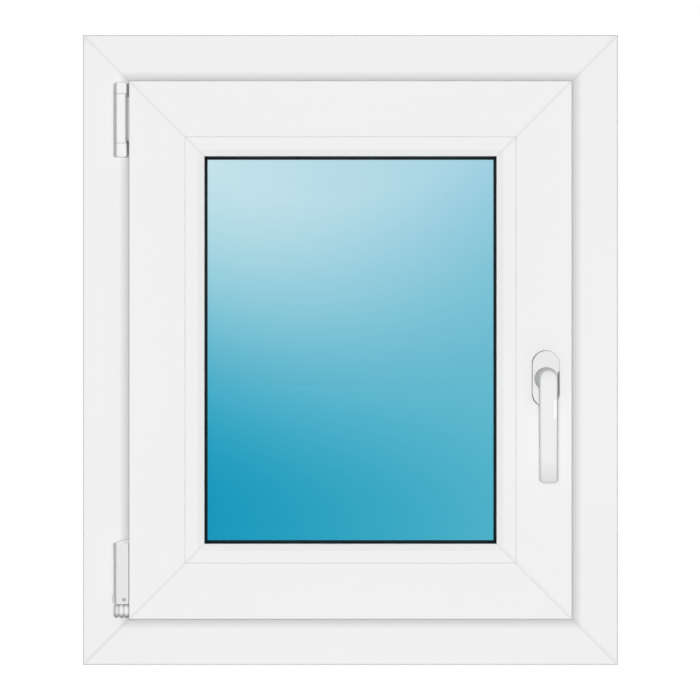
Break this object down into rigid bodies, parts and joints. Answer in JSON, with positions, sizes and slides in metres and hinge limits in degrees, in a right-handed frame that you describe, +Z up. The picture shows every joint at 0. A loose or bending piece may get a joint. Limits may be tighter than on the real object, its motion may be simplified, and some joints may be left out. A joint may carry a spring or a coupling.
{
  "type": "pvc window",
  "caption": "White plastic tilt-and-turn window: mitred frame, lapping sash, clip-in glazing beads, sealed insulating glass, black seals, lever handle and side hinges.",
  "frame": {"origin": "middle of the frame's underside, at half the frame's depth", "axes": "+X to the right as seen from the room, +Z up, and +Y out of doors, so the handle side faces -Y"},
  "size_m": [0.535, 0.1356, 0.63],
  "materials": {
    "pvc_white": "smooth satin white PVC",
    "window_glass": "clear, with a light blue cast",
    "spacer_aluminium": "plain mill finish with fine perforations",
    "seal_rubber": "matt black extruded rubber",
    "handle_coating": "satin white powder coat",
    "hinge_coating": "white powder coat",
    "cover_plastic": "moulded white plastic",
    "fitting_steel": "zinc plated",
    "cap_plastic": "moulded white plastic"
  },
  "bodies": {
    "window": {"frame_sill": "pvc_white", "frame_right_jamb": "pvc_white", "frame_head": "pvc_white", "frame_left_jamb": "pvc_white", "sash_bottom_rail": "pvc_white", "sash_right_stile": "pvc_white", "sash_top_rail": "pvc_white", "sash_left_stile": "pvc_white", "bead_bottom": "pvc_white", "bead_right": "pvc_white", "bead_top": "pvc_white", "bead_left": "pvc_white", "inner_pane": "window_glass", "outer_pane": "window_glass", "spacer_bar": "spacer_aluminium", "inner_glazing_gasket": "seal_rubber", "outer_glazing_gasket": "seal_rubber", "overlap_seal": "seal_rubber", "rebate_seal": "seal_rubber", "handle_rosette": "handle_coating", "stay_bearing": "hinge_coating", "stay_knuckle": "hinge_coating", "corner_bearing": "hinge_coating", "corner_pivot": "hinge_coating", "stay_pin": "fitting_steel", "tilt_pin": "fitting_steel", "corner_hinge": "fitting_steel", "corner_hinge_cover": "cover_plastic", "drain_cap_left": "cap_plastic", "drain_cap_right": "cap_plastic"},
    "handle": {"handle_lever": "handle_coating", "handle_spindle": "fitting_steel"}
  },
  "joints": [
    {"name": "handle_turn", "type": "hinge", "parent": "window", "child": "handle", "pos_m": [0.1937, -0.059, 0.2865], "axis": [0, 1, 0], "range_deg": [0, 180]}
  ]
}
